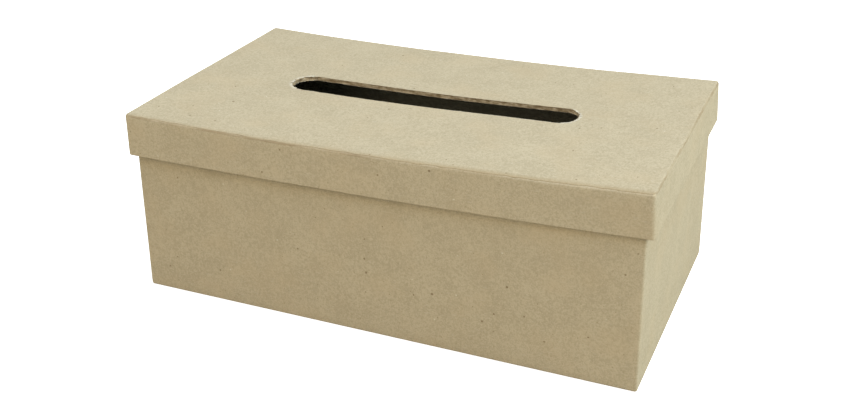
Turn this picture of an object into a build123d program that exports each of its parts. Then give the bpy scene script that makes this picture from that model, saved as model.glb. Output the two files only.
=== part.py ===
from build123d import *
import math
import os

os.makedirs("parts", exist_ok=True)

# A rigid paper-covered tissue box: a deep tray and a lid with a long slot, which lifts off.
# Lengths are in millimetres and angles in degrees. X runs along the box, -Y is its front,
# and the origin is on the surface it stands on, under the middle of the tray.

# Sheet materials
board = 1.8            # thickness of the board that tray and lid are folded from
paper = 0.2            # thickness of the brown cover paper, also of the lining
stay_paper = 0.15      # thickness of the gummed strips that hold the board's corners

# Tray, over its cover paper
tray_length = 256.5    # at the foot
tray_width = 137.0     # at the foot
tray_height = 92.7     # from the surface it stands on to the rim
wall_lean = 0.9        # how far each wall leans in at the rim

# Lid, over its cover paper
end_play = 0.65        # room between the tray's rim and the lid's board, at each end
side_play = 1.4        # the same at the front and at the back
skirt_height = 21.4    # at the ends
panel_sag = 2.42       # warp: how far the middle of the top panel hangs below its ends
skirt_sag = 1.7        # the same for the skirt's lower edge
lid_tilt = 1.08        # the lid sits with its +X end raised
lid_turn = 0.34        # and is turned a little on the tray
seat_gap = 0.3         # between the tray's rim and the lowest line of the lid's underside

# Slot, cut through the top panel by hand, a little off the middle and askew
slot_length = 153.0
slot_width = 19.4
slot_shift_x = -0.9
slot_shift_y = 1.1
slot_skew = 0.76

# Folds and laps of the cover paper
edge_round = 2.0       # outside rounding of folded edges and corners
rim_round = 0.4        # rounding of the paper where it is folded over the board at a rim
tray_turn_in = 15.0    # the paper goes over the rim and this far down inside
lid_turn_in = 11.0     # the same inside the lid's skirt
end_lap = 12.0         # the wall paper is turned this far over the closed end
base_margin = 2.5      # the base sheet stops short of the walls by this much
top_margin = 0.5       # the top sheet is trimmed this close to the edge

# Corner stays
stay_reach = 14.0      # how far a stay runs along each wall from its corner
stay_end = 3.0         # a stay stops this far short of the rim and of the closed end

# Sums that the shapes below share
past = 8.0                     # how far a cutting form runs past what it cuts
wall = paper + board           # from the outside of a wall to the board's inner face
panel = wall + paper           # top sheet, board and lining, as the slot shows them
lid_length = tray_length + 2 * (end_play + wall - wall_lean)
lid_width = tray_width + 2 * (side_play + wall - wall_lean)
lean_angle = math.degrees(math.atan(wall_lean / tray_height))

# The lid has a frame of its own, with its origin between the ends of the top panel. In it
# the panel and the skirt's lower edge are arcs about two centres high above, and the ends
# stand square to the panel, so their faces point at the panel's centre.
panel_radius = ((lid_length / 2) ** 2 + panel_sag ** 2) / (2 * panel_sag)
panel_centre = panel_radius - panel_sag
end_angle = math.asin(lid_length / 2 / panel_radius)
end_down = Vector(math.sin(end_angle), -math.cos(end_angle))
end_inward = Vector(-math.cos(end_angle), -math.sin(end_angle))
end_foot = Vector(0, panel_centre) + end_down * (panel_radius + skirt_height)
skirt_radius = (end_foot.X ** 2 + skirt_sag ** 2) / (2 * skirt_sag)
skirt_centre = end_foot.Y - skirt_sag + skirt_radius

# The tilted lid rests where the arc of its underside comes lowest over the tray's rim.
tilt = math.radians(lid_tilt)
underside_radius = panel_radius + panel
underside_x = -panel_centre * math.sin(tilt)
rim_reach = tray_length / 2 - wall_lean
seat_x = max(-rim_reach, min(underside_x, rim_reach))
seat_drop = math.sqrt(underside_radius ** 2 - (seat_x - underside_x) ** 2)
lid_height = tray_height + seat_gap + seat_drop - panel_centre * math.cos(tilt)
lid_place = Location((0, 0, lid_height), (0, -lid_tilt, lid_turn))


def tray_block(inset, drop, edge):
    """The tray's outer form, solid, with its walls moved in by inset.

    Its floor is raised by drop and its rim lowered by edge."""
    side = inset + wall_lean * drop / tray_height
    foot = Rectangle(tray_length - 2 * side, tray_width - 2 * side)
    return extrude(Pos(0, 0, drop) * foot, tray_height - edge - drop, taper=lean_angle)


def tray_rim(form):
    """The face at a tray form's open end, which is its highest."""
    return form.faces().sort_by(Axis.Z)[-1]


def on_end(centre, radius, inset):
    """Where an arc about (0, centre) meets the face of the +X end, moved in by inset."""
    start = Vector(0, panel_centre) + end_inward * inset
    offset = start - Vector(0, centre)
    slant = offset.dot(end_down)
    along = math.sqrt(slant ** 2 - offset.dot(offset) + radius ** 2) - slant
    return start + end_down * along


def lid_block(inset, drop, edge):
    """The lid's outer form, solid, in the lid's own frame, with its sides moved in by inset.

    Its top is lowered by drop and the skirt's lower edge raised by edge."""
    top = on_end(panel_centre, panel_radius + drop, inset)
    foot = on_end(skirt_centre, skirt_radius - edge, inset)
    far_top = Vector(-top.X, top.Y)
    far_foot = Vector(-foot.X, foot.Y)
    outline = [
        ThreePointArc(far_top, (0, panel_centre - panel_radius - drop), top),
        Line(top, foot),
        ThreePointArc(foot, (0, skirt_centre - skirt_radius + edge), far_foot),
        Line(far_foot, far_top),
    ]
    return extrude(Plane.XZ * make_face(outline), lid_width / 2 - inset, both=True)


def lid_rim(form):
    """The face at a lid form's open end, which is its lowest."""
    return form.faces().sort_by(Axis.Z)[0]


def rounded(form, rim, radius):
    """Rounds a form's folded edges, which are all but those round its open end."""
    open_edges = rim(form).edges()
    return fillet([edge for edge in form.edges() if edge not in open_edges], radius)


def corner_stays(block, rim, core, length, width):
    """The strips round the board's corners, pressed flush with its outer face."""
    inner = block(paper + stay_paper, 0, -past)
    band = core & block(0, 2 * paper + stay_end, paper + stay_end)
    band -= rounded(inner, rim, edge_round - paper - stay_paper)
    across = 4 * (length + width)
    band -= Box(length - 2 * stay_reach, across, across)
    band -= Box(across, width - 2 * stay_reach, across)
    return band.solids()


def folded_box(block, rim, length, width, turn_in):
    """Board, wall paper and corner stays of the tray or the lid, from its block.

    Drops are measured from the outer sheet on the closed end. The wall paper's lap over
    the closed end is pressed flush with the board that the outer sheet covers."""
    core = rounded(block(paper, 2 * paper, paper), rim, edge_round - paper)
    stays = corner_stays(block, rim, core, length, width)
    core += block(end_lap, paper, paper)
    core -= block(wall, wall, -past)

    wrap = rounded(block(0, paper, 0), rim, edge_round)
    wrap -= block(wall, wall, turn_in)
    wrap -= block(wall + paper, wall, -past)
    wrap -= block(end_lap, 0, -past)
    wrap = fillet(rim(wrap).edges(), rim_round)
    wrap -= core
    wrap -= stays
    return core - stays, wrap, stays


def end_sheet(block, rim, margin):
    """The sheet over the closed end, trimmed by margin, which follows the rounded edge."""
    sheet = rounded(block(0, 0, 0), rim, edge_round) - rounded(block(0, paper, -past), rim, edge_round)
    return sheet & block(margin, -past, -past)


def slotted(layer):
    """Cuts the slot through one layer of the lid's top panel."""
    cut = extrude(SlotOverall(slot_length, slot_width), past, both=True)
    return layer - Pos(slot_shift_x, slot_shift_y, 0) * Rot(0, 0, slot_skew) * cut


def write(name, shape, place=Location()):
    """Writes one piece, which has to be a single solid."""
    solids = shape.solids()
    if len(solids) != 1:
        raise ValueError(f"{name} has {len(solids)} solids")
    export_step(place * solids[0], f"parts/{name}.step")


def write_stays(body, stays, place=Location()):
    """Writes the stays, each named for its corner."""
    for stay in stays:
        middle = stay.center()
        face = "front" if middle.Y < 0 else "back"
        end = "left" if middle.X < 0 else "right"
        write(f"{body}_stay_{face}_{end}", stay, place)


# Tray
tray_board, tray_wrap, tray_stays = folded_box(
    tray_block, tray_rim, tray_length, tray_width, tray_turn_in)
write("tray_board", tray_board)
write("tray_wrap", tray_wrap)
write("tray_base_sheet", end_sheet(tray_block, tray_rim, base_margin))
write_stays("tray", tray_stays)

# Lid
lid_board, lid_wrap, lid_stays = folded_box(
    lid_block, lid_rim, lid_length, lid_width, lid_turn_in)
lid_lining = lid_block(wall, wall, 0) - lid_block(0, panel, -past)
write("lid_board", slotted(lid_board), lid_place)
write("lid_wrap", lid_wrap, lid_place)
write("lid_top_sheet", slotted(end_sheet(lid_block, lid_rim, top_margin)), lid_place)
write("lid_lining", slotted(lid_lining), lid_place)
write_stays("lid", lid_stays, lid_place)
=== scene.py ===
import math
import bpy
import numpy as np
from mathutils import Matrix, Vector, noise


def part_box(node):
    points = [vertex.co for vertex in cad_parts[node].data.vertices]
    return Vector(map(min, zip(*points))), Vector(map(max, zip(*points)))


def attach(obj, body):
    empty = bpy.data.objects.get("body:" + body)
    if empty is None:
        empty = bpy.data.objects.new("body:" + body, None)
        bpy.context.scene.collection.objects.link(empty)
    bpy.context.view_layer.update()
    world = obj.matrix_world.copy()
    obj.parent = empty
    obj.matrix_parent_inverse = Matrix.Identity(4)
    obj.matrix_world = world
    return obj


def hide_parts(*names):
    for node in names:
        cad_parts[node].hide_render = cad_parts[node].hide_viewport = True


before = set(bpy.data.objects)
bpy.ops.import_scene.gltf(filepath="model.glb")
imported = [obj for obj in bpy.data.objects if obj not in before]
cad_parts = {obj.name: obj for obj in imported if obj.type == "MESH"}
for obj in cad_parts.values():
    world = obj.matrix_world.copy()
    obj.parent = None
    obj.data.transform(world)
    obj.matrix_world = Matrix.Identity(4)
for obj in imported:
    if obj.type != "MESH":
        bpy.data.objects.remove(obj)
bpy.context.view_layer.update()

# A blank tissue box of board under brown paper. Lengths below are in millimetres, and a
# piece's mesh is turned to metres when it is made.
mm = 0.001

# Thickness of the board and of each paper
board = 1.8
paper = 0.2
wall = board + paper

# Lid, in a frame of its own: x runs along it and depth is measured down from its top
skirt_height = 21.4
panel_sag = 2.42
skirt_sag = 1.7
lid_tilt = 1.08
lid_turn = 0.34

# How far each tray wall leans in at the rim
wall_lean = 0.9

# Laps of the wall paper: down inside the tray, up inside the skirt, and onto the closed ends,
# with a hair of room beside the last
tray_turn_in = 15.0
lid_turn_in = 11.0
end_lap = 12.0
lap_clear = 0.05

# Slot, cut by hand, with how far its two sides stray and its right tip falls short
slot_length = 153.0
slot_width = 19.4
slot_shift = (-0.9, 1.1)
slot_skew = 0.76
front_stray = 0.55
back_stray = 0.6
back_dip = 0.35
short_tip = 0.5

# How ragged the cut leaves each layer. It is rougher from this far along the slot, over this
# run and by this share more.
sheet_fray = 0.14
board_fray = 0.16
lining_fray = 0.15
blade_bite = 0.12
fray_width = 0.6
rough_from = 64.0
rough_run = 9.0
rough_more = 2.2

# Roundings of the long folds, the lid's upright corners and the rims. A loop that is moved in
# past its rounding keeps the least one.
edge_round = 1.15
lid_corner = 1.7
rim_round = 0.4
least_round = 0.05

# The top sheet is trimmed by hand this far from the edge. The cut wavers by these amounts, in
# short waves and in long ones, and stays within these limits.
sheet_margin = 0.5
short_waver = 0.22
long_waver = 0.18
least_margin = 0.15
most_margin = 1.05

# Waves in the lid's top and how long they are, and the same for a tray wall's swelling
panel_ripple = 0.1
ripple_length = 45
wall_swell = 0.14
swell_length = 60.0

# The tray's size comes from the frame, and the lid's from the tray's and the play between them
tray_low, tray_high = (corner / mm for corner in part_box("tray_wrap"))
tray_length = tray_high.x - tray_low.x
tray_width = tray_high.y - tray_low.y
tray_height = tray_high.z
end_play = 0.65
side_play = 1.4
lid_length = tray_length + 2 * (end_play + wall - wall_lean)
lid_width = tray_width + 2 * (side_play + wall - wall_lean)

# The lid's bow is an arc about a centre high above it
bow_radius = ((lid_length / 2) ** 2 + panel_sag ** 2) / (2 * panel_sag)
bow_centre = bow_radius - panel_sag
half_along = bow_radius * math.asin(lid_length / 2 / bow_radius)

# The wall paper's end laps over its start on the back, this far from the left corner. The
# step takes up a small share of the side, and round the corner the lap fades out.
seam_from_corner = 17.0
seam_step = 0.17
seam_share = 0.0003
seam_inside = 0.04
lap_fade = 8.0

# Points round a loop: on each corner, each long side and each short side
corner_points = 7
long_points = 130
short_points = 70

# Each seed reads its own layer of the noise
seed_spacing = 31.7


def outline(half_x, half_y, radius):
    """A rectangle with round corners, anticlockwise from the right end, always as many points."""
    radius = max(radius, least_round)
    middles = [(half_x - radius, half_y - radius), (radius - half_x, half_y - radius),
               (radius - half_x, radius - half_y), (half_x - radius, radius - half_y)]
    arcs = []
    for turn, (x, y) in enumerate(middles):
        angles = np.radians(90 * turn + np.linspace(0, 90, corner_points))
        arcs.append(np.stack([x + radius * np.cos(angles), y + radius * np.sin(angles)], 1))
    loop = []
    for turn, arc in enumerate(arcs):
        count = long_points if turn % 2 == 0 else short_points
        share = np.linspace(0, 1, count + 2)[1:-1, None]
        if turn == 0:
            seam = 1 - seam_from_corner / (2 * half_x)
            share = np.linspace(0, 1, count)[1:-1, None]
            share = np.sort(np.append(share, [[seam], [seam + seam_share]], 0), 0)
        loop += [arc, arc[-1] * (1 - share) + arcs[(turn + 1) % 4][0] * share]
    return np.concatenate(loop)


def slot_edge(grow):
    """The slot's outline, grown by grow, with a point for each one of outline()."""
    half = slot_length / 2 - slot_width / 2
    radius = slot_width / 2 + grow
    long_run = long_points + corner_points
    short_run = short_points + corner_points
    along = np.linspace(half, -half, long_run, endpoint=False)
    tip = np.radians(np.linspace(90, 270, short_run, endpoint=False))
    back = np.stack([along, np.full(long_run, radius)], 1)
    left = np.stack([-half + radius * np.cos(tip), radius * np.sin(tip)], 1)
    loop = np.concatenate([back, left, -back, -left])
    loop = np.roll(loop, corner_points // 2, 0)
    reach = loop[:, 0] / half
    front_wave = front_stray * np.sin(2.6 * reach - 0.4) * np.exp(-0.5 * reach ** 2)
    back_wave = back_stray * reach ** 2 - back_dip
    stray = np.where(loop[:, 1] < 0, front_wave, back_wave)
    loop[:, 1] += stray * np.clip(np.abs(loop[:, 1]) / radius, 0, 1)
    loop[:, 0] -= short_tip * np.clip((reach - 1) * half / (slot_width / 2), 0, 1)
    skew = math.radians(slot_skew)
    turned = loop @ np.array([[math.cos(skew), math.sin(skew)], [-math.sin(skew), math.cos(skew)]])
    return turned + np.array(slot_shift)


def wander(points, size, seed):
    """Smooth noise at each point, about -1 to 1, with features of the given size."""
    layer = seed_spacing * seed
    return np.array([noise.noise(Vector((x / size, y / size, z / size + layer)))
                     for x, y, z in points]) * 2


def lapped(loop):
    """Moves a loop out where the wall paper lies double, from its cut end round the corner."""
    half_x, half_y = loop.max(0)
    seam = seam_from_corner - half_x - seam_inside
    on_back = (loop[:, 1] > half_y - edge_round) & (loop[:, 0] < seam)
    past_corner = np.clip((half_y - edge_round - loop[:, 1]) / lap_fade, 0, 1)
    on_left = (loop[:, 0] < edge_round - half_x) & (loop[:, 1] > 0)
    lift = np.where(on_back, 1.0, np.where(on_left, 1 - past_corner, 0.0))
    outward = np.stack([np.where(loop[:, 0] < edge_round - half_x, -1.0, 0.0),
                        np.where(loop[:, 1] > half_y - edge_round, 1.0, 0.0)], 1)
    return loop + outward * (lift * seam_step)[:, None]


def level(loop, height):
    """A flat loop as points in space, at one height or one for each point."""
    return np.column_stack([loop, np.broadcast_to(height, len(loop))])


def arc_steps(count, start=0):
    """Angles over a quarter turn, from the one numbered start."""
    return np.linspace(0, math.pi / 2, count + 1)[start:]


def ring_mesh(name, rows, marks):
    """A closed shell from rows of points, with a float attribute for each of marks."""
    rows = np.array(rows)
    count, around = rows.shape[:2]
    verts = rows.reshape(-1, 3)
    grid = np.arange(count * around).reshape(count, around)
    beside = np.roll(grid, -1, 1)
    quads = np.stack([grid, beside, np.roll(beside, -1, 0), np.roll(grid, -1, 0)], 2).reshape(-1, 4)
    a, b, c, d = (verts[quads[:, i]] for i in range(4))
    volume = np.einsum("ij,ij->i", a, np.cross(b, c) + np.cross(c, d)).sum()
    if volume < 0:
        quads = quads[:, ::-1]
    mesh = bpy.data.meshes.new(name)
    mesh.from_pydata((verts * mm).tolist(), [], quads.tolist())
    for mark, values in marks.items():
        layer = mesh.attributes.new(mark, "FLOAT", "POINT")
        spread = np.broadcast_to(values, grid.shape).reshape(-1)
        layer.data.foreach_set("value", spread.astype(np.float32))
    mesh.set_sharp_from_angle(angle=math.radians(40))
    piece = bpy.data.objects.new(name, mesh)
    bpy.context.scene.collection.objects.link(piece)
    return piece


# Lid
tilting = Matrix.Rotation(math.radians(-lid_tilt), 3, "Y")
turning = Matrix.Rotation(math.radians(lid_turn), 3, "Z")
lid_attitude = np.array(tilting @ turning)


def bend(points):
    """Takes points of the flat lid, with depth as z, to the bowed and tilted lid."""
    angle = points[:, 0] / bow_radius
    reach = bow_radius + points[:, 2]
    rise = bow_centre - reach * np.cos(angle)
    bowed = np.column_stack([reach * np.sin(angle), points[:, 1], rise])
    return bowed @ lid_attitude.T


def lid_loop(inset):
    """The flat lid's outline, moved in by inset."""
    return outline(half_along - inset, lid_width / 2 - inset, lid_corner - inset)


def foot_depth(loop, rise=0.0):
    """Depth of the skirt's lower edge, which is bowed less than the top, less rise."""
    bow = 1 - (loop[..., 0] / half_along) ** 2
    return skirt_height - (panel_sag - skirt_sag) * bow - rise


def lid_wrap_rows():
    """The paper round the skirt, from its lap on the top over both folds and back."""
    rows = []

    def add(inset, depth):
        rows.append(level(lid_loop(inset), depth))

    def add_foot(inset, rise):
        loop = lid_loop(inset)
        rows.append(level(loop, foot_depth(loop, rise)))

    # Onto the top and round the fold
    for inset in (end_lap, 6.0, 3.0):
        add(inset, paper)
    for step in arc_steps(7):
        add(edge_round * (1 - math.sin(step)), paper + edge_round * (1 - math.cos(step)))
    # Down the skirt, where the paper's end lies double
    side = lapped(lid_loop(0))
    for depth in (2.9, 4.5, 7.0, 11.0, 15.0, 18.0):
        rows.append(level(side, depth))
    for rise in (1.2, 0.7):
        rows.append(level(side, foot_depth(side, rise)))
    # Round the foot, up inside, and back beside the board
    for step in arc_steps(4):
        add_foot(rim_round * (1 - math.cos(step)), rim_round * (1 - math.sin(step)))
    for step in arc_steps(4)[::-1]:
        add_foot(wall + paper - rim_round * (1 - math.cos(step)), rim_round * (1 - math.sin(step)))
    for inset, rise in ((wall + paper, 3.0), (wall + paper, lid_turn_in), (wall, lid_turn_in),
                        (wall, paper), (paper, paper)):
        add_foot(inset, rise)
    for step in arc_steps(4)[::-1]:
        round_in = edge_round - paper
        add(paper + round_in * (1 - math.sin(step)), 2 * paper + round_in * (1 - math.cos(step)))
    add(end_lap, 2 * paper)
    return rows


lid_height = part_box("lid_wrap")[1].z / mm - max(bend(row)[:, 2].max() for row in lid_wrap_rows())
lid_rise = np.array([0.0, 0.0, lid_height])


def lid_piece(name, rows):
    """Makes a lid piece from flat rows. Its marks are its depth, its distance from the skirt's
    foot, the slot and the front, and how far left of the slot's middle it is."""
    placed = []
    for row in rows:
        flat = row.copy()
        flat[:, 2] += panel_ripple * wander(level(row[:, :2], 0), ripple_length, 1)
        placed.append(bend(flat) + lid_rise)
    points = np.array(rows)
    depth = points[..., 2]
    skew = math.radians(slot_skew)
    off = points[..., :2] - np.array(slot_shift)
    along = off[..., 0] * math.cos(skew) + off[..., 1] * math.sin(skew)
    across = off[..., 1] * math.cos(skew) - off[..., 0] * math.sin(skew)
    past_tip = np.maximum(np.abs(along) - (slot_length - slot_width) / 2, 0)
    marks = {
        "depth": depth,
        "foot": foot_depth(points) - depth,
        "slot_gap": np.hypot(past_tip, across) - slot_width / 2,
        "leftward": -along,
        "from_front": points[..., 1] + lid_width / 2,
    }
    return ring_mesh(name, placed, marks)


def panel_loops(outer_insets, fray, seed):
    """Loops over the top panel, from the slot's ragged edge out to the given insets."""
    loops = []
    for grow in (0.0, 0.25, 0.6, 1.1, 1.8, 3.0, 5.0):
        loop = slot_edge(grow)
        flat = level(loop, 0)
        ragged = fray * (wander(flat, 1.1, seed) + 0.6 * wander(flat, 5.0, seed + 1))
        ragged *= math.exp(-grow / fray_width)
        along = np.abs(loop[:, 0] - slot_shift[0])
        ragged *= 1 + rough_more * np.clip((along - rough_from) / rough_run, 0, 1)
        outward = loop - slot_edge(grow - 0.5)
        outward /= np.linalg.norm(outward, axis=1)[:, None]
        loops.append(loop + outward * ragged[:, None])
    inner = loops[-1]
    outer = lid_loop(end_lap)
    for share in (0.15, 0.32, 0.5, 0.68, 0.85):
        loops.append(inner * (1 - share) + outer * share)
    return loops + [lid_loop(inset) for inset in outer_insets]


def round_depth(inset):
    """How far the top's rounding has dropped at this inset."""
    return edge_round - np.sqrt(np.maximum(edge_round ** 2 - (edge_round - inset) ** 2, 0))


def trimmed(share, margin):
    """The top sheet's loop on its rounded edge, share of the way to its trimmed edge."""
    inset = edge_round + (margin - edge_round) * share
    wide = lid_loop(edge_round)
    tight = lid_loop(0.0)
    reach = (1 - inset / edge_round)[:, None]
    return wide + (tight - wide) * reach, round_depth(inset)


def make_top_sheet():
    """The sheet over the lid's top, which follows the rounded edge to where it is trimmed."""
    plain = level(lid_loop(edge_round), 0)
    waver = short_waver * wander(plain, 4.0, 7) + long_waver * wander(plain, 22.0, 8)
    margin = np.clip(sheet_margin + waver, least_margin, most_margin)
    insets = (end_lap, 8.0, 4.0, 3.0, 2.4, edge_round)
    top = [level(loop, 0) for loop in panel_loops(insets, sheet_fray, 3)]
    for share in (0.25, 0.5, 0.75, 1.0):
        loop, drop = trimmed(share, margin)
        top.append(level(loop, drop))
    under = []
    for row in top[::-1]:
        low = row.copy()
        low[:, 2] += paper
        under.append(low)
    return lid_piece("lid_top_paper", top + under)


def make_lid_core():
    """The lid's board, with the slot's cut face bitten by the blade."""
    upper = panel_loops((end_lap + lap_clear,), board_fray, 11)
    lower = panel_loops((end_lap, wall), board_fray, 13)
    rows = [level(loop, paper) for loop in upper]
    rows += [level(lid_loop(inset), 2 * paper) for inset in (end_lap, edge_round)]
    round_in = edge_round - paper
    for step in arc_steps(4, 1):
        rows.append(level(lid_loop(paper + round_in * (1 - math.sin(step))),
                          2 * paper + round_in * (1 - math.cos(step))))
    for inset in (paper, wall):
        loop = lid_loop(inset)
        rows.append(level(loop, foot_depth(loop, paper)))
    rows += [level(loop, wall) for loop in lower[::-1]]
    edge = slot_edge(0.0)
    for share in (0.75, 0.5, 0.25):
        flat = level(edge, wall * share)
        bite = blade_bite * (wander(flat, 0.9, 17) + wander(flat, 3.0, 18))
        outward = edge - slot_edge(-0.5)
        outward /= np.linalg.norm(outward, axis=1)[:, None]
        rows.append(level(edge + outward * bite[:, None], paper + board * share))
    return lid_piece("lid_board_form", rows)


def make_lid_lining():
    """The paper under the lid's top, inside the skirt."""
    loops = panel_loops((end_lap, 5.0, wall), lining_fray, 23)
    rows = [level(loop, wall) for loop in loops]
    rows += [level(loop, wall + paper) for loop in loops[::-1]]
    return lid_piece("lid_lining_paper", rows)


# Tray
def tray_loop(inset, height):
    """The tray's outline at a height, moved in by inset."""
    in_by = inset + wall_lean * height / tray_height
    return outline(tray_length / 2 - in_by, tray_width / 2 - in_by, edge_round - inset)


def make_tray_wrap():
    """The paper round the tray, from its lap under the bottom over the rim and back."""
    rows, height_marks = [], []

    def add(inset, height, swell=0.0):
        loop = tray_loop(inset, height)
        if inset == 0 and edge_round < height < tray_height - rim_round:
            loop = lapped(loop)
        if swell:
            plain = level(loop, height)
            outward = loop / np.linalg.norm(loop, axis=1)[:, None]
            share = 0.5 + 0.5 * wander(plain, swell_length, 5)
            loop = loop + outward * (swell * share)[:, None]
        rows.append(level(loop, height))
        height_marks.append(height)

    # Under the bottom and round the fold
    add(end_lap, paper)
    add(3.0, paper)
    for step in arc_steps(7):
        add(edge_round * (1 - math.sin(step)), paper + edge_round * (1 - math.cos(step)))
    # Up the wall and over the rim
    for height in np.linspace(3.2, tray_height - 2.0, 22):
        add(0, height, wall_swell)
    add(0, tray_height - 1.0)
    for step in arc_steps(4):
        add(rim_round * (1 - math.cos(step)), tray_height - rim_round * (1 - math.sin(step)))
    for step in arc_steps(4)[::-1]:
        inset = wall + paper - rim_round * (1 - math.cos(step))
        add(inset, tray_height - rim_round * (1 - math.sin(step)))
    # Down inside, and back beside the board
    add(wall + paper, tray_height - tray_turn_in)
    add(wall, tray_height - tray_turn_in)
    add(wall, tray_height - paper)
    add(paper, tray_height - paper)
    round_in = edge_round - paper
    for step in arc_steps(4)[::-1]:
        add(paper + round_in * (1 - math.sin(step)), 2 * paper + round_in * (1 - math.cos(step)))
    add(end_lap, 2 * paper)
    up = np.array(height_marks)[:, None]
    return ring_mesh("tray_paper", rows, {"up": up})


# Finishes
paper_roughness = 0.86
paper_sheen = 0.25


class Value:
    """A number socket that takes part in Python sums."""

    def __init__(self, finish, socket):
        self.finish = finish
        self.socket = socket

    def sum_with(self, operation, first, second):
        return self.finish.node("ShaderNodeMath", {"operation": operation}, {0: first, 1: second})

    def __add__(self, other):
        return self.sum_with("ADD", self, other)

    __radd__ = __add__

    def __sub__(self, other):
        return self.sum_with("SUBTRACT", self, other)

    def __rsub__(self, other):
        return self.sum_with("SUBTRACT", other, self)

    def __mul__(self, other):
        return self.sum_with("MULTIPLY", self, other)

    __rmul__ = __mul__


class Finish:
    """One material, built node by node."""

    def __init__(self, name, roughness):
        self.material = bpy.data.materials.new(name)
        self.material.use_nodes = True
        self.tree = self.material.node_tree
        self.shader = self.tree.nodes["Principled BSDF"]
        self.shader.inputs["Roughness"].default_value = roughness
        self.shader.inputs["Specular IOR Level"].default_value = paper_sheen
        self.place = self.node("ShaderNodeTexCoord", {}, {}, "Object")

    def feed(self, socket, source):
        """Links a value to a socket, or writes a number or colour into it."""
        if isinstance(source, Value):
            self.tree.links.new(source.socket, socket)
        else:
            socket.default_value = source

    def node(self, kind, settings, inputs, output=0):
        """Adds a node, with its settings and its inputs, and gives one of its outputs."""
        made = self.tree.nodes.new(kind)
        for key, setting in settings.items():
            setattr(made, key, setting)
        for key, source in inputs.items():
            self.feed(made.inputs[key], source)
        return Value(self, made.outputs[output])

    def mark(self, name):
        """A piece's own number, such as its depth."""
        return self.node("ShaderNodeAttribute", {"attribute_name": name}, {}, "Fac")

    def cloud(self, scale, detail=2.0, stretch=(1, 1, 1), shift=(0, 0, 0)):
        """Noise from 0 to 1, with features of about 1 / scale metres."""
        spot = self.node("ShaderNodeMapping", {},
                         {"Vector": self.place, "Scale": stretch, "Location": shift})
        return self.node("ShaderNodeTexNoise", {},
                         {"Vector": spot, "Scale": scale, "Detail": detail})

    def fade(self, value, start, end):
        """0 at start, 1 at end, smooth between."""
        return self.node("ShaderNodeMapRange", {"interpolation_type": "SMOOTHSTEP"},
                         {"Value": value, "From Min": start, "From Max": end})

    def blend(self, share, first, second):
        """The first colour, with the given share of the second laid over it."""
        return self.node("ShaderNodeMix", {"data_type": "RGBA"}, {0: share, 6: first, 7: second}, 2)

    def specks(self, spacing, size, kept, shift):
        """Spots of the given size in mm, one to a cell of the given spacing.

        Only the kept share of cells has one."""
        scale = 1 / (spacing * mm)
        spot = self.node("ShaderNodeMapping", {}, {"Vector": self.place, "Location": shift})
        wobble = self.node("ShaderNodeTexNoise", {}, {"Vector": spot, "Scale": 900.0}, "Color")
        pushed = self.node("ShaderNodeVectorMath", {"operation": "MULTIPLY_ADD"},
                           {0: wobble, 1: (0.0006, 0.0006, 0.0006), 2: spot})
        cells = {"Vector": pushed, "Scale": scale}
        distance = self.node("ShaderNodeTexVoronoi", {}, cells, "Distance")
        chance = self.node("ShaderNodeTexVoronoi", {}, cells, "Color")
        chance = self.node("ShaderNodeSeparateColor", {}, {"Color": chance}, "Red")
        radius = size / spacing
        core = self.fade(distance, radius, radius * 0.45)
        return core * self.fade(chance, 1 - kept, 1 - kept * 0.6)

    def done(self, colour, height, strength, reach):
        """Joins colour and relief to the shader, and gives the material."""
        self.feed(self.shader.inputs["Base Color"], colour)
        bump = self.node("ShaderNodeBump", {},
                         {"Height": height, "Strength": strength, "Distance": reach})
        self.feed(self.shader.inputs["Normal"], bump)
        return self.material


kraft_light = (0.595, 0.508, 0.348, 1)
kraft_dark = (0.486, 0.408, 0.27, 1)
kraft_brown = (0.22, 0.15, 0.075, 1)
kraft_pale = (0.74, 0.69, 0.56, 1)
kraft_rub = (0.27, 0.185, 0.095, 1)
kraft_warm = (0.595, 0.475, 0.30, 1)
kraft_tan = (0.33, 0.215, 0.085, 1)
cut_dark = (0.26, 0.185, 0.10, 1)
cut_light = (0.57, 0.465, 0.30, 1)
grey_dark = (0.27, 0.265, 0.215, 1)
grey_light = (0.345, 0.335, 0.275, 1)
lining_dark = (0.42, 0.355, 0.25, 1)
lining_light = (0.57, 0.495, 0.365, 1)
strip_dark = (0.42, 0.31, 0.19, 1)
strip_light = (0.5, 0.38, 0.24, 1)

# Specks in the paper: spacing and size in mm, share of cells with one, strength, colour, place
kraft_specks = [
    (12.0, 0.85, 0.4, 0.8, kraft_brown, (0.7, 5.2, 3.3)),
    (5.0, 0.6, 0.25, 0.8, kraft_brown, (3.1, 1.7, 0.4)),
    (2.6, 0.36, 0.5, 0.5, kraft_rub, (1.3, 4.1, 2.2)),
    (5.5, 0.5, 0.25, 0.8, kraft_pale, (7.9, 2.6, 5.5)),
]


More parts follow.
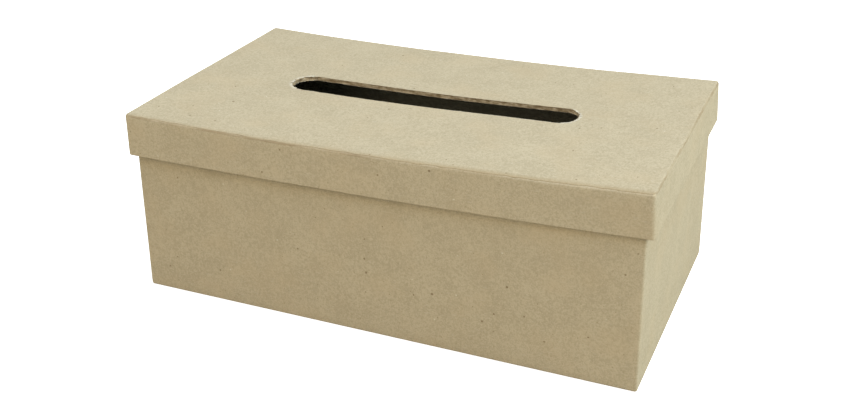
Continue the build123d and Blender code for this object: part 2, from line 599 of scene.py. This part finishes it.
def kraft(finish, shift=(0, 0, 0)):
    """Colour and relief of recycled brown paper: clouds, mottle, fibres and specks."""
    clouds = finish.cloud(60.0, 2.0, shift=shift)
    patches = finish.cloud(210.0, 3.0, shift=shift)
    mottle = finish.cloud(640.0, 2.0, shift=shift)
    grain = finish.cloud(1400.0, 2.0, shift=shift)
    tone = finish.fade(clouds * 0.16 + patches * 0.11 + mottle * 0.26 + grain * 0.47, 0.4, 0.6)
    colour = finish.blend(tone, kraft_dark, kraft_light)
    warmth = finish.fade(finish.cloud(42.0, 3.0, shift=(shift[1] + 4, shift[0], 2)), 0.45, 0.7)
    colour = finish.blend(warmth * 0.3, colour, kraft_warm)
    colour = finish.blend(finish.fade(grain, 0.6, 0.85) * 0.3, colour, kraft_brown)
    strands = finish.cloud(1000.0, 1.0, (0.3, 1.0, 1.0), shift)
    cross_strands = finish.cloud(1000.0, 1.0, (1.0, 0.3, 0.4), shift)
    colour = finish.blend(finish.fade(strands, 0.64, 0.76) * 0.14, colour, kraft_pale)
    colour = finish.blend(finish.fade(cross_strands, 0.64, 0.76) * 0.14, colour, kraft_rub)
    for spacing, size, kept, strength, tint, place in kraft_specks:
        colour = finish.blend(finish.specks(spacing, size, kept, place) * strength, colour, tint)
    return colour, mottle * 0.5 + grain * 0.6


def top_sheet_finish():
    """Kraft paper that is torn pale and rubbed bare at the slot's tips, with a painted highlight
    along the slot's cut edge, and worn at its edge.
    """
    finish = Finish("kraft_top_sheet", paper_roughness)
    colour, height = kraft(finish)
    gap = finish.mark("slot_gap")
    left = finish.mark("leftward")
    ragged = finish.cloud(700.0, 3.0) * 3.0 - 1.5
    torn = finish.fade(gap + ragged, 2.4, 0.4) * finish.fade(left, 66.0, 74.0)
    torn_right = finish.fade(gap + ragged, 1.1, 0.2) * finish.fade(left, -66.0, -73.0)
    colour = finish.blend((torn + torn_right) * 0.7, colour, kraft_pale)
    bare = finish.fade(finish.cloud(520.0, 2.0, shift=(0.3, 0.6, 0.1)), 0.5, 0.62)
    bare_left = finish.fade(gap, 2.0, 0.5) * finish.fade(left, 66.0, 72.0) * bare
    bare_right = finish.fade(gap, 1.4, 0.3) * finish.fade(left, -67.0, -72.0) * bare
    colour = finish.blend(bare_left * 0.75, colour, kraft_rub)
    colour = finish.blend(bare_right * 0.5, colour, kraft_rub)
    # Painted highlight: a thin pale line laid along the slot's cut edge
    painted_highlight = finish.fade(gap + ragged * 0.3, 0.7, 0.1)
    colour = finish.blend(painted_highlight * 0.12, colour, kraft_pale)
    # The front edge is rubbed tan, more so towards the right
    reach = finish.fade(left, 90.0, -60.0)
    tan = finish.fade(finish.mark("from_front") + ragged * 0.5, 3.6 + reach * 1.2, 0.9)
    colour = finish.blend(tan * (0.14 + reach * 0.2), colour, kraft_tan)
    edge = finish.fade(finish.mark("depth") + ragged * 0.04, 0.04, 0.12)
    colour = finish.blend(edge * 0.2, colour, kraft_brown)
    return finish.done(colour, height + torn * 0.8, 0.22, 0.0004)


def lid_wrap_finish():
    """Kraft paper rubbed brown where it folds over the top and at the skirt's foot."""
    finish = Finish("kraft_lid_side", paper_roughness)
    colour, height = kraft(finish, (0.3, 0.1, 0.7))
    ragged = finish.cloud(450.0, 3.0)
    patchy = finish.fade(finish.cloud(45.0, 2.0), 0.38, 0.62)
    rub = finish.fade(finish.mark("depth") + ragged, 2.0, 1.4) * (patchy * 0.6 + 0.4)
    # Along the right part of the front the top sheet's own edge is what shows
    rightward = finish.fade(finish.mark("leftward"), 30.0, -80.0)
    spared = rightward * finish.fade(finish.mark("from_front"), 3.0, 1.0)
    colour = finish.blend(rub * (1 - spared * 0.75) * 0.6, colour, kraft_rub)
    worn = finish.fade(finish.mark("foot") + ragged * 0.6, 1.0, 0.3)
    colour = finish.blend(worn * 0.25, colour, kraft_brown)
    return finish.done(colour, height, 0.35, 0.0004)


def tray_wrap_finish():
    """Kraft paper rubbed where the tray stands."""
    finish = Finish("kraft_tray_side", paper_roughness)
    colour, height = kraft(finish, (1.3, 0.9, 0.2))
    ragged = finish.cloud(450.0, 3.0)
    rub = finish.fade(finish.mark("up") + ragged * 0.8, 1.5, 0.5)
    colour = finish.blend(rub * 0.35, colour, kraft_rub)
    return finish.done(colour, height, 0.35, 0.0004)


def base_finish():
    """Plain kraft paper, for the sheet that the box stands on."""
    finish = Finish("kraft_base", paper_roughness)
    colour, height = kraft(finish, (2.3, 1.9, 0.6))
    return finish.done(colour, height, 0.35, 0.0004)


def board_finish(name, dark, light):
    """Board of pressed waste paper, with layers where it is cut."""
    finish = Finish(name, 0.92)
    mottle = finish.cloud(380.0, 3.0)
    layers = finish.cloud(900.0, 2.0, (0.2, 0.2, 2.6))
    colour = finish.blend(finish.fade(mottle * 0.5 + layers * 0.5, 0.38, 0.62), dark, light)
    colour = finish.blend(finish.specks(3.0, 0.4, 0.4, (4.0, 2.0, 1.0)) * 0.5, colour, kraft_brown)
    return finish.done(colour, mottle + layers, 0.5, 0.0005)


def lining_finish():
    """Paler paper, seen at the bottom of the slot's cut edge."""
    finish = Finish("lining_paper", 0.9)
    mottle = finish.cloud(420.0, 3.0)
    colour = finish.blend(finish.fade(mottle, 0.35, 0.65), lining_dark, lining_light)
    return finish.done(colour, mottle, 0.3, 0.0004)


def stay_finish():
    """Smooth gummed paper, for the strips that hold the board's corners."""
    finish = Finish("gummed_strip", 0.7)
    mottle = finish.cloud(600.0, 2.0)
    colour = finish.blend(mottle, strip_dark, strip_light)
    return finish.done(colour, mottle, 0.2, 0.0002)


# Fibres that stand out of the slot's cut edge, of a radius that is a share of their length
fibre_length = 0.8
fibre_radius = 0.05


def fibre_tree(material):
    """Geometry Nodes that set thin curved fibres on every point of a loop."""
    tree = bpy.data.node_groups.new("cut_fibres", "GeometryNodeTree")
    tree.interface.new_socket("Edge", in_out="INPUT", socket_type="NodeSocketGeometry")
    for size in ("Spacing", "Length", "Thickness"):
        tree.interface.new_socket(size, in_out="INPUT", socket_type="NodeSocketFloat")
    tree.interface.new_socket("Fibres", in_out="OUTPUT", socket_type="NodeSocketGeometry")

    def node(kind, settings=None, inputs=None):
        made = tree.nodes.new(kind)
        for key, setting in (settings or {}).items():
            setattr(made, key, setting)
        for key, source in (inputs or {}).items():
            if isinstance(source, bpy.types.NodeSocket):
                tree.links.new(source, made.inputs[key])
            else:
                made.inputs[key].default_value = source
        return made

    given = node("NodeGroupInput")
    path = node("GeometryNodeMeshToCurve", None, {"Mesh": given.outputs["Edge"]})
    spread = node("GeometryNodeResampleCurve", {"mode": "LENGTH"},
                  {"Curve": path.outputs["Curve"], "Length": given.outputs["Spacing"]})
    points = node("GeometryNodeCurveToPoints", {"mode": "EVALUATED"},
                  {"Curve": spread.outputs["Curve"]})
    middle = node("ShaderNodeCombineXYZ", None, {"X": 0.3, "Y": 0.5})
    bow = node("GeometryNodeCurveQuadraticBezier", None,
               {"Resolution": 3, "Start": (0, 0, 0), "Middle": middle.outputs[0], "End": (0, 1, 0)})
    section = node("GeometryNodeCurvePrimitiveCircle", {"mode": "RADIUS"},
                   {"Resolution": 3, "Radius": given.outputs["Thickness"]})
    sweep = {"Curve": bow.outputs["Curve"], "Profile Curve": section.outputs["Curve"]}
    tube = node("GeometryNodeCurveToMesh", None, {**sweep, "Fill Caps": True})
    turn = node("FunctionNodeRandomValue", {"data_type": "FLOAT_VECTOR"},
                {"Min": (-1.1, -1.1, -3.14), "Max": (1.1, 1.1, 3.14), "Seed": 4})
    length = node("FunctionNodeRandomValue", {"data_type": "FLOAT"}, {2: 0.25, 3: 1.0, "Seed": 9})
    long = node("ShaderNodeMath", {"operation": "MULTIPLY"},
                {0: length.outputs[1], 1: given.outputs["Length"]})
    scale = node("ShaderNodeCombineXYZ", None, dict.fromkeys("XYZ", long.outputs[0]))
    placed = node("GeometryNodeInstanceOnPoints", None,
                  {"Points": points.outputs["Points"], "Instance": tube.outputs["Mesh"],
                   "Rotation": turn.outputs[0], "Scale": scale.outputs[0]})
    real = node("GeometryNodeRealizeInstances", None, {"Geometry": placed.outputs["Instances"]})
    coloured = node("GeometryNodeSetMaterial", None,
                    {"Geometry": real.outputs["Geometry"], "Material": material})
    node("NodeGroupOutput", None, {"Fibres": coloured.outputs["Geometry"]})
    return tree


def make_fibres(name, depth, spacing, material):
    """Fibres along the slot's edge at one depth, as a plain mesh."""
    edge = bend(level(slot_edge(0.0), depth)) + lid_rise
    path = bpy.data.meshes.new(name + "_path")
    path.from_pydata((edge * mm).tolist(), [(i, (i + 1) % len(edge)) for i in range(len(edge))], [])
    carrier = bpy.data.objects.new(name, path)
    bpy.context.scene.collection.objects.link(carrier)
    tree = fibre_tree(material)
    modifier = carrier.modifiers.new("fibres", "NODES")
    modifier.node_group = tree
    sizes = {"Spacing": spacing * mm, "Length": fibre_length * mm, "Thickness": fibre_radius}
    for item in tree.interface.items_tree:
        if item.name in sizes:
            modifier[item.identifier] = sizes[item.name]
    graph = bpy.context.evaluated_depsgraph_get()
    plain = bpy.data.meshes.new_from_object(carrier.evaluated_get(graph))
    carrier.modifiers.remove(modifier)
    carrier.data = plain
    return carrier


def finish_piece(piece, body, material, node=None):
    """Gives a piece its material, body and slot, and hides the node whose place it takes.

    Fibres come with their material from their own nodes."""
    if material.name not in [given.name for given in piece.data.materials if given]:
        piece.data.materials.append(material)
    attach(piece, body)
    if node:
        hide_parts(node)


wrap_look = lid_wrap_finish()
side_look = tray_wrap_finish()
cut_look = board_finish("cut_board", cut_dark, cut_light)
grey_look = board_finish("grey_board", grey_dark, grey_light)
lining_look = lining_finish()
top_look = top_sheet_finish()
finish_piece(make_top_sheet(), "lid", top_look, "lid_top_sheet")
lid_side = lid_piece("lid_side_paper", lid_wrap_rows())
finish_piece(lid_side, "lid", wrap_look, "lid_wrap")
finish_piece(make_lid_core(), "lid", cut_look, "lid_board")
finish_piece(make_lid_lining(), "lid", lining_look, "lid_lining")
finish_piece(make_tray_wrap(), "tray", side_look, "tray_wrap")
top_fibres = make_fibres("slot_fibres_top", depth=0.3, spacing=0.5, material=cut_look)
low_fibres = make_fibres("slot_fibres_low", depth=2.1, spacing=0.8, material=lining_look)
finish_piece(top_fibres, "lid", cut_look)
finish_piece(low_fibres, "lid", lining_look)

# The source's own bodies that stay are mostly hidden
carried = {"tray_board": grey_look, "tray_base_sheet": base_finish()}
stay_look = stay_finish()
for node_name, node_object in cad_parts.items():
    look = carried.get(node_name, stay_look if "_stay_" in node_name else None)
    if look:
        node_object.data.materials.clear()
        node_object.data.materials.append(look)


# Floor and lights, in metres. The floor lies a hair below the box's bottom.
floor_reach = 8.0
floor_drop = 0.00002


def make_floor():
    """A flat square under the box."""
    corners = [(-1, -1), (1, -1), (1, 1), (-1, 1)]
    points = [(x * floor_reach, y * floor_reach, -floor_drop) for x, y in corners]
    mesh = bpy.data.meshes.new("floor")
    mesh.from_pydata(points, [], [(0, 1, 2, 3)])
    mesh.materials.append(floor_finish())
    made = bpy.data.objects.new("floor", mesh)
    bpy.context.scene.collection.objects.link(made)
    return made


def floor_finish():
    """White to look at, and a warm grey for the light that it throws back on the box."""
    finish = Finish("pale_floor", 0.9)
    finish.shader.inputs["Base Color"].default_value = (0.95, 0.95, 0.95, 1)
    finish.shader.inputs["Emission Color"].default_value = (1, 1, 1, 1)
    finish.shader.inputs["Emission Strength"].default_value = 0.8
    seen = finish.node("ShaderNodeLightPath", {}, {}, "Is Camera Ray")
    bounce = finish.node("ShaderNodeBsdfDiffuse", {}, {"Color": (0.47, 0.44, 0.37, 1)})
    shown = Value(finish, finish.shader.outputs[0])
    mixed = finish.node("ShaderNodeMixShader", {}, {0: seen, 1: bounce, 2: shown})
    finish.tree.links.new(mixed.socket, finish.tree.nodes["Material Output"].inputs["Surface"])
    return finish.material


make_floor()


def soft_light(name, place, size, power, colour):
    """A square light that points at the box."""
    lamp = bpy.data.lights.new(name, "AREA")
    lamp.size = size
    lamp.energy = power
    lamp.color = colour
    made = bpy.data.objects.new(name, lamp)
    made.location = place
    made.rotation_euler = (box_middle - Vector(place)).to_track_quat("-Z", "Y").to_euler()
    bpy.context.scene.collection.objects.link(made)


box_middle = Vector((0, 0, 0.05))
soft_light("key", (1.7, 0.3, 1.2), size=1.2, power=40, colour=(0.90, 0.975, 1))
soft_light("front_warm", (-0.3, -1.75, 1.35), size=1.5, power=21, colour=(1, 0.85, 0.62))
soft_light("overhead_cool", (0.1, -0.65, 1.9), size=1.4, power=20.5, colour=(0.68, 0.82, 1))
soft_light("back_fill", (-1.5, 1.6, 0.35), size=0.5, power=11, colour=(1, 0.93, 0.8))
world = bpy.data.worlds.new("studio")
world.use_nodes = True
sky = world.node_tree.nodes["Background"]
sky.inputs["Color"].default_value = (1, 1, 1, 1)
sky.inputs["Strength"].default_value = 0.15
bpy.context.scene.world = world
bpy.context.scene.view_settings.view_transform = "Standard"

# The photograph is 854 by 410; the lens axis meets it right of and above the middle
image_width, image_height = 854, 410
focal = 1172.71
axis_x, axis_y = 512.45, 152.97
sensor = 36.0

# Where the camera stood, in millimetres, and how it was held: turned left from looking along
# +Y, tipped down, and rolled
camera_place = Vector((218.47, -496.54, 315.24)) * mm
camera_left = 19.4927
camera_down = 24.5420
camera_roll = 1.1547

lens = bpy.data.cameras.new("camera")
lens.sensor_width = sensor
lens.lens = focal / image_width * sensor
lens.shift_x = (image_width / 2 - axis_x) / image_width
lens.shift_y = (axis_y - image_height / 2) / image_width
camera = bpy.data.objects.new("camera", lens)
camera.matrix_world = (Matrix.Translation(camera_place)
                       @ Matrix.Rotation(math.radians(camera_left), 4, "Z")
                       @ Matrix.Rotation(math.radians(90 - camera_down), 4, "X")
                       @ Matrix.Rotation(math.radians(camera_roll), 4, "Z"))
bpy.context.scene.collection.objects.link(camera)
bpy.context.scene.camera = camera
